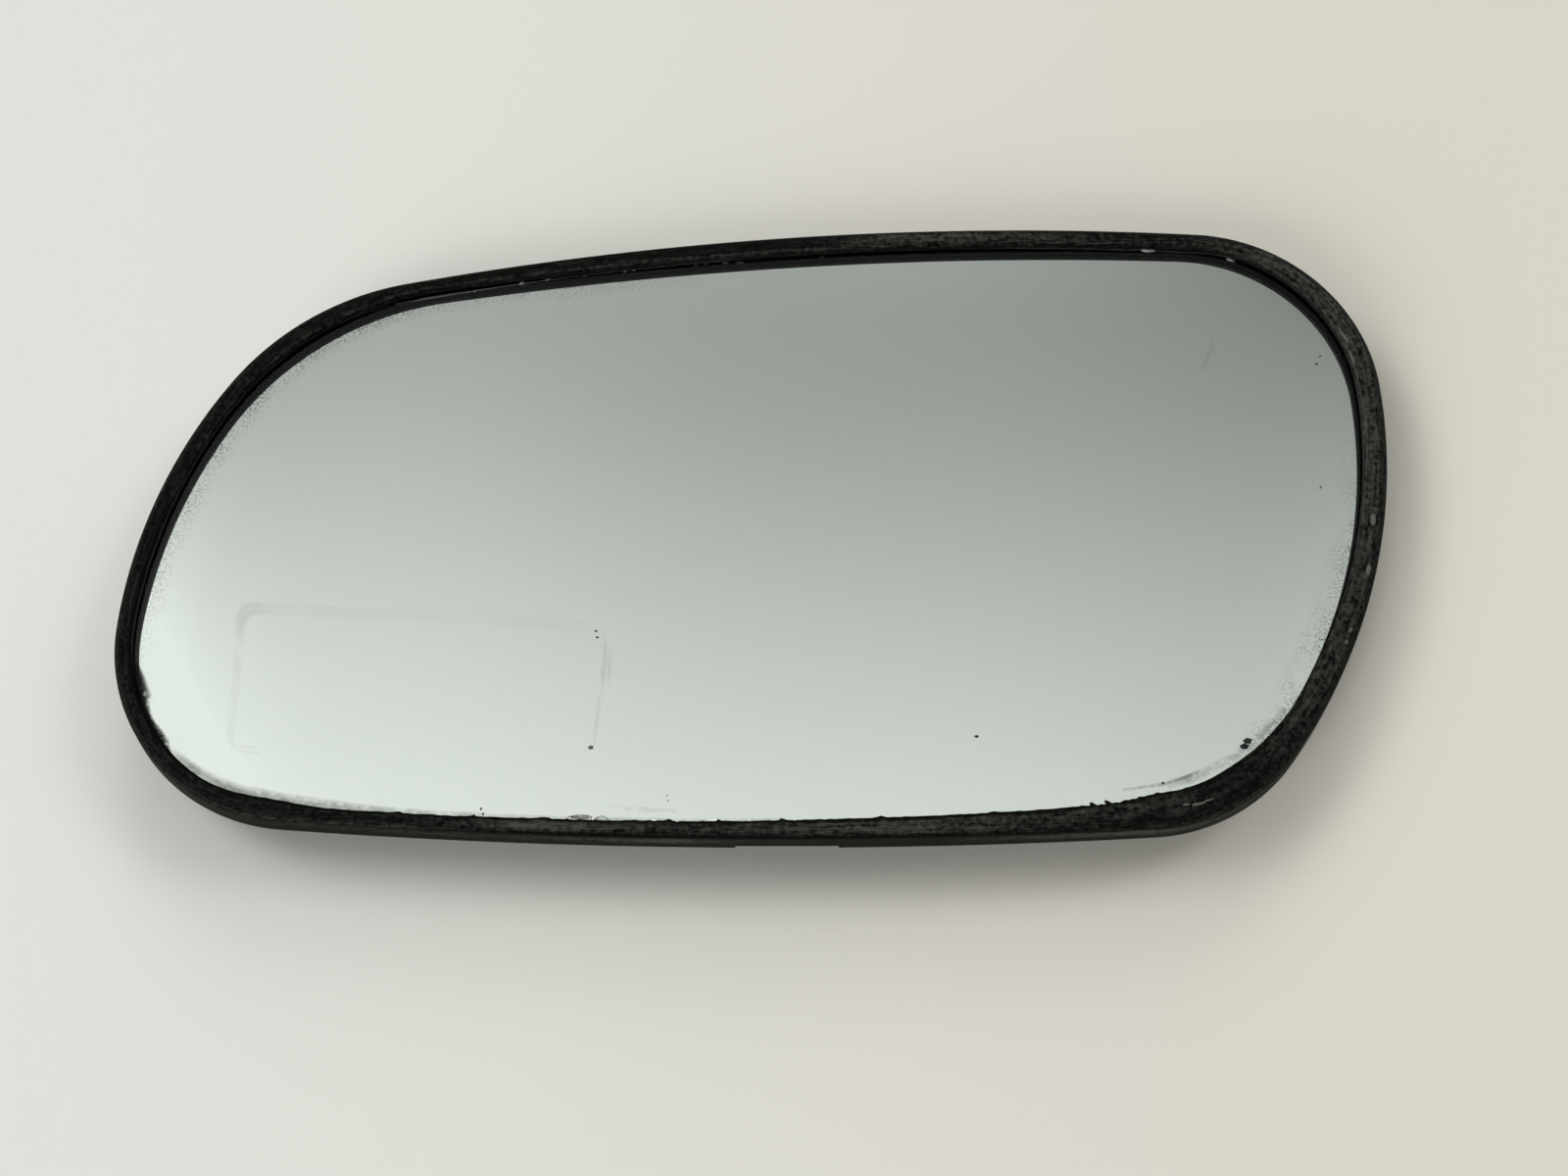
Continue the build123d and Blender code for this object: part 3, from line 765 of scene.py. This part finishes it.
def silvering():
    """Silver chemically laid on the back of the glass: a clear greenish mirror, gone grey in a fine stipple
    along the lip where damp got in, denser in drifts a few millimetres wide."""
    made, tree, shader = material("silvering", Metallic=1.0, Roughness=0.0)
    place = node(tree, "ShaderNodeTexCoord").outputs["Object"]
    dots = node(tree, "ShaderNodeTexNoise", {
        "Vector": place, "Scale": per_metre(DOT_WIDTH), "Detail": 2.0})
    dot = node(tree, "ShaderNodeMapRange", {
        "Value": dots.outputs["Fac"], "From Min": 0.45, "From Max": 0.62})
    drifts = node(tree, "ShaderNodeTexNoise", {
        "Vector": place, "Scale": per_metre(DRIFT_WIDTH), "Detail": 3.0})
    drift = node(tree, "ShaderNodeMapRange", {
        "Value": drifts.outputs["Fac"], "From Min": 0.32, "From Max": 0.56})
    from_lip = node(tree, "ShaderNodeAttribute", attribute_name="from_lip_mm")
    near = node(tree, "ShaderNodeMapRange", {
        "Value": from_lip.outputs["Fac"], "From Min": STIPPLE_FULL, "From Max": STIPPLE_END,
        "To Min": 1.0, "To Max": 0.0})
    spots = node(tree, "ShaderNodeAttribute", attribute_name="spots")
    reach = node(tree, "ShaderNodeMath", {0: near.outputs[0], 1: spots.outputs["Fac"]}, operation="MULTIPLY")
    reached = node(tree, "ShaderNodeMath", {0: reach.outputs[0], 1: drift.outputs[0]}, operation="MULTIPLY")
    dark = node(tree, "ShaderNodeMath", {0: reached.outputs[0], 1: dot.outputs[0]}, operation="MULTIPLY")
    colour = node(tree, "ShaderNodeMix", {
        "Factor": dark.outputs[0], "A": linear("#F0F5F0"), "B": linear("#4A504A")}, data_type="RGBA")
    tree.links.new(colour.outputs["Result"], shader.inputs["Base Color"])
    return made


def float_glass():
    """Clear float glass, 2 mm: polished, with the faint green of its iron, and a breath of dust that dulls
    the reflection on its front."""
    made, tree, shader = material(
        "float_glass", Roughness=0.0, IOR=1.52, Transmission_Weight=1.0,
        Specular_Tint=(0.55, 0.55, 0.55, 1.0))
    place = node(tree, "ShaderNodeTexCoord").outputs["Object"]
    dust = node(tree, "ShaderNodeTexNoise", {
        "Vector": place, "Scale": per_metre(GLASS_DUST_WIDTH), "Detail": 6.0, "Roughness": 0.7})
    colour = node(tree, "ShaderNodeMix", {
        "Factor": dust.outputs["Fac"], "A": linear("#F4F9F4"), "B": linear("#F9FDF9")}, data_type="RGBA")
    tree.links.new(colour.outputs["Result"], shader.inputs["Base Color"])
    return made


def patchy_film(name, hex_colour, width_mm, low, high, most):
    """Thin dull film of that colour, worn through in patches of that width: from clear, where the pattern is
    low, to the share called most, where it is high, as its cover allows."""
    made, tree, shader = material(
        name, Base_Color=linear(hex_colour), Roughness=0.7, Specular_IOR_Level=0.2)
    place = node(tree, "ShaderNodeTexCoord").outputs["Object"]
    patches = node(tree, "ShaderNodeTexNoise", {
        "Vector": place, "Scale": per_metre(width_mm), "Detail": 4.0})
    share = node(tree, "ShaderNodeMapRange", {
        "Value": patches.outputs["Fac"], "From Min": low, "From Max": high, "To Max": most})
    cover = node(tree, "ShaderNodeAttribute", attribute_name="cover")
    alpha = node(tree, "ShaderNodeMath", {0: share.outputs[0], 1: cover.outputs["Fac"]}, operation="MULTIPLY")
    tree.links.new(alpha.outputs[0], shader.inputs["Alpha"])
    return made


def crumbly(name, dark_hex, pale_hex, width_mm, roughness, metallic=0.0):
    """Crumbs or flakes between a dark and a pale tone, as their own tone says, mixed unevenly in grains of
    that width: dull, or bright where they are metallic."""
    made, tree, shader = material(name, Roughness=roughness, Specular_IOR_Level=0.3, Metallic=metallic)
    place = node(tree, "ShaderNodeTexCoord").outputs["Object"]
    grains = node(tree, "ShaderNodeTexNoise", {
        "Vector": place, "Scale": per_metre(width_mm), "Detail": 3.0})
    tone = node(tree, "ShaderNodeAttribute", attribute_name="tone")
    uneven = node(tree, "ShaderNodeMapRange", {
        "Value": grains.outputs["Fac"], "From Min": 0.3, "From Max": 0.7,
        "To Min": -GRAIN_TONE, "To Max": GRAIN_TONE})
    mixed = node(tree, "ShaderNodeMath", {
        0: tone.outputs["Fac"], 1: uneven.outputs[0]}, operation="ADD", use_clamp=True)
    colour = node(tree, "ShaderNodeMix", {
        "Factor": mixed.outputs[0], "A": linear(dark_hex), "B": linear(pale_hex)}, data_type="RGBA")
    tree.links.new(colour.outputs["Result"], shader.inputs["Base Color"])
    return made


for name, finish in [
        ("glass_holder", moulded_polypropylene()),
        ("adhesive_pad", polyethylene_foam()),
        ("mirror_glass", float_glass())]:
    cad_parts[name].material_slots[0].material = finish

# What those from the specks on give the eye: black specks and a painted highlight in the film curl, white
# crumbs, flakes painted pale as highlights, bright glints, grey pits, grey rubbed plastic, a black crust, a
# dark shred, a grey smear, a faint grey line and a grey haze
for pieces, finish in [
        ([skin], weathered_polypropylene()),
        ([silver], silvering()),
        # Tar, whose pale end also gives the painted highlight in the film curl
        ([specks], crumbly("tar", "#0C0D0B", "#8A8D88", 0.2, 0.6)),
        ([crumbs, flakes], crumbly("dried_sealant_and_painted_glints", "#1A1B19", "#F4F5F1", 0.3, 0.5)),
        ([glints], crumbly("loose_silver", "#6A6E6A", "#FAFAF6", 0.3, 0.35, 1.0)),
        ([pits], crumbly("silver_sulphide", "#2A2C2A", "#B4BAB4", 0.2, 0.7)),
        ([scuffs], crumbly("rubbed_polypropylene", "#11120F", "#55564F", 0.4, 0.7)),
        ([crust], patchy_film("road_grime", "#12130F", 0.6, 0.28, 0.5, 0.95)),
        (curls, patchy_film("torn_film", "#1A1B18", 0.4, 0.2, 0.5, 0.9)),
        ([smear], patchy_film("dried_dirt", "#7A7D77", 1.5, 0.2, 0.6, 0.4)),
        (residue, patchy_film("label_glue", "#6E726C", 2.5, 0.2, 0.6, 0.09)),
        (scratches, patchy_film("tarnished_silver", "#4A4E4A", 0.8, 0.3, 0.55, 0.5))]:
    for piece in pieces:
        piece.data.materials.append(finish)

# Floor, in metres: pale paint, with a painted falloff of the light that leaves it a little warmer and darker
# to the right
FLOOR_SIZE = 4.0
FLOOR_FALLOFF_FROM_X = -0.11
FLOOR_FALLOFF_TO_X = 0.12
bpy.ops.mesh.primitive_plane_add(size=FLOOR_SIZE)
floor = bpy.context.object
floor.name = "floor"
paint, tree, shader = material("floor_paint_with_painted_falloff", Roughness=0.7, Specular_IOR_Level=0.2)
place = node(tree, "ShaderNodeSeparateXYZ", {0: node(tree, "ShaderNodeTexCoord").outputs["Object"]})
# Painted shade: the falloff of the light towards the right
side = node(tree, "ShaderNodeMapRange", {
    "Value": place.outputs["X"], "From Min": FLOOR_FALLOFF_FROM_X, "From Max": FLOOR_FALLOFF_TO_X},
    interpolation_type="SMOOTHSTEP")
tone = node(tree, "ShaderNodeMix", {
    "Factor": side.outputs[0], "A": linear("#E9E9E3"), "B": linear("#E0DDD0")}, data_type="RGBA")
tree.links.new(tone.outputs["Result"], shader.inputs["Base Color"])
floor.data.materials.append(paint)


def soft_sky():
    """World of soft patches of light, each a bell over the direction's x and y. What is seen of it, or shows
    in glass and gloss, goes no higher than a pale tone, and near the horizon it is the floor's pale tone."""
    world = bpy.data.worlds.new("soft_sky")
    world.use_nodes = True
    tree = world.node_tree
    direction = node(tree, "ShaderNodeTexCoord").outputs["Generated"]
    total = None
    for strength, (x, y), (spread_x, spread_y) in SKY_PATCHES:
        apart = node(tree, "ShaderNodeVectorMath", {0: direction, 1: (x, y, 0.0)}, operation="SUBTRACT")
        scaled = node(tree, "ShaderNodeVectorMath", {
            0: apart.outputs[0], 1: (1 / spread_x, 1 / spread_y, 0.0)}, operation="MULTIPLY")
        square = node(tree, "ShaderNodeVectorMath", {
            0: scaled.outputs[0], 1: scaled.outputs[0]}, operation="DOT_PRODUCT")
        minus = node(tree, "ShaderNodeMath", {0: square.outputs["Value"], 1: -1.0}, operation="MULTIPLY")
        bell = node(tree, "ShaderNodeMath", {0: minus.outputs[0]}, operation="EXPONENT")
        part = node(tree, "ShaderNodeMath", {
            0: bell.outputs[0], 1: strength, 2: 0.0}, operation="MULTIPLY_ADD")
        if total:
            tree.links.new(total.outputs[0], part.inputs[2])
        total = part
    path = node(tree, "ShaderNodeLightPath").outputs
    seen = node(tree, "ShaderNodeMath", {
        0: path["Is Camera Ray"], 1: path["Is Glossy Ray"]}, operation="MAXIMUM")
    seen = node(tree, "ShaderNodeMath", {
        0: seen.outputs[0], 1: path["Is Transmission Ray"]}, operation="MAXIMUM")
    height = node(tree, "ShaderNodeSeparateXYZ", {0: direction})
    low = node(tree, "ShaderNodeMapRange", {
        "Value": height.outputs["Z"], "From Min": HORIZON_FADE_TOP, "From Max": HORIZON_FADE_FOOT})
    pale = node(tree, "ShaderNodeMath", {0: seen.outputs[0], 1: low.outputs[0]}, operation="MULTIPLY")
    dimmed = node(tree, "ShaderNodeMath", {0: total.outputs[0], 1: SKY_SEEN_MOST}, operation="MINIMUM")
    shown = node(tree, "ShaderNodeMix", {
        "Factor": seen.outputs[0], "A": total.outputs[0], "B": dimmed.outputs[0]}, data_type="FLOAT")
    level = node(tree, "ShaderNodeMix", {
        "Factor": pale.outputs[0], "A": shown.outputs["Result"], "B": HORIZON_TONE}, data_type="FLOAT")
    background = tree.nodes["Background"].inputs
    tree.links.new(level.outputs["Result"], background["Strength"])
    background["Color"].default_value = (1.0, 1.0, 1.0, 1.0)
    return world


bpy.context.scene.world = soft_sky()

# Camera
tilt = np.radians(VIEW_TILT_DEG)
camera_data = bpy.data.cameras.new("camera")
camera_data.lens = SENSOR_MM * FOCAL_PIXELS / IMAGE_WIDTH
camera_data.sensor_width = SENSOR_MM
camera_data.clip_start = NEAREST_SEEN * MM
camera = bpy.data.objects.new("camera", camera_data)
camera.location = (VIEW_TARGET + VIEW_DISTANCE * np.array([0, -np.sin(tilt), np.cos(tilt)])) * MM
camera.rotation_euler = (tilt, 0, 0)
bpy.context.scene.collection.objects.link(camera)
bpy.context.scene.camera = camera
bpy.context.scene.view_settings.view_transform = "Standard"
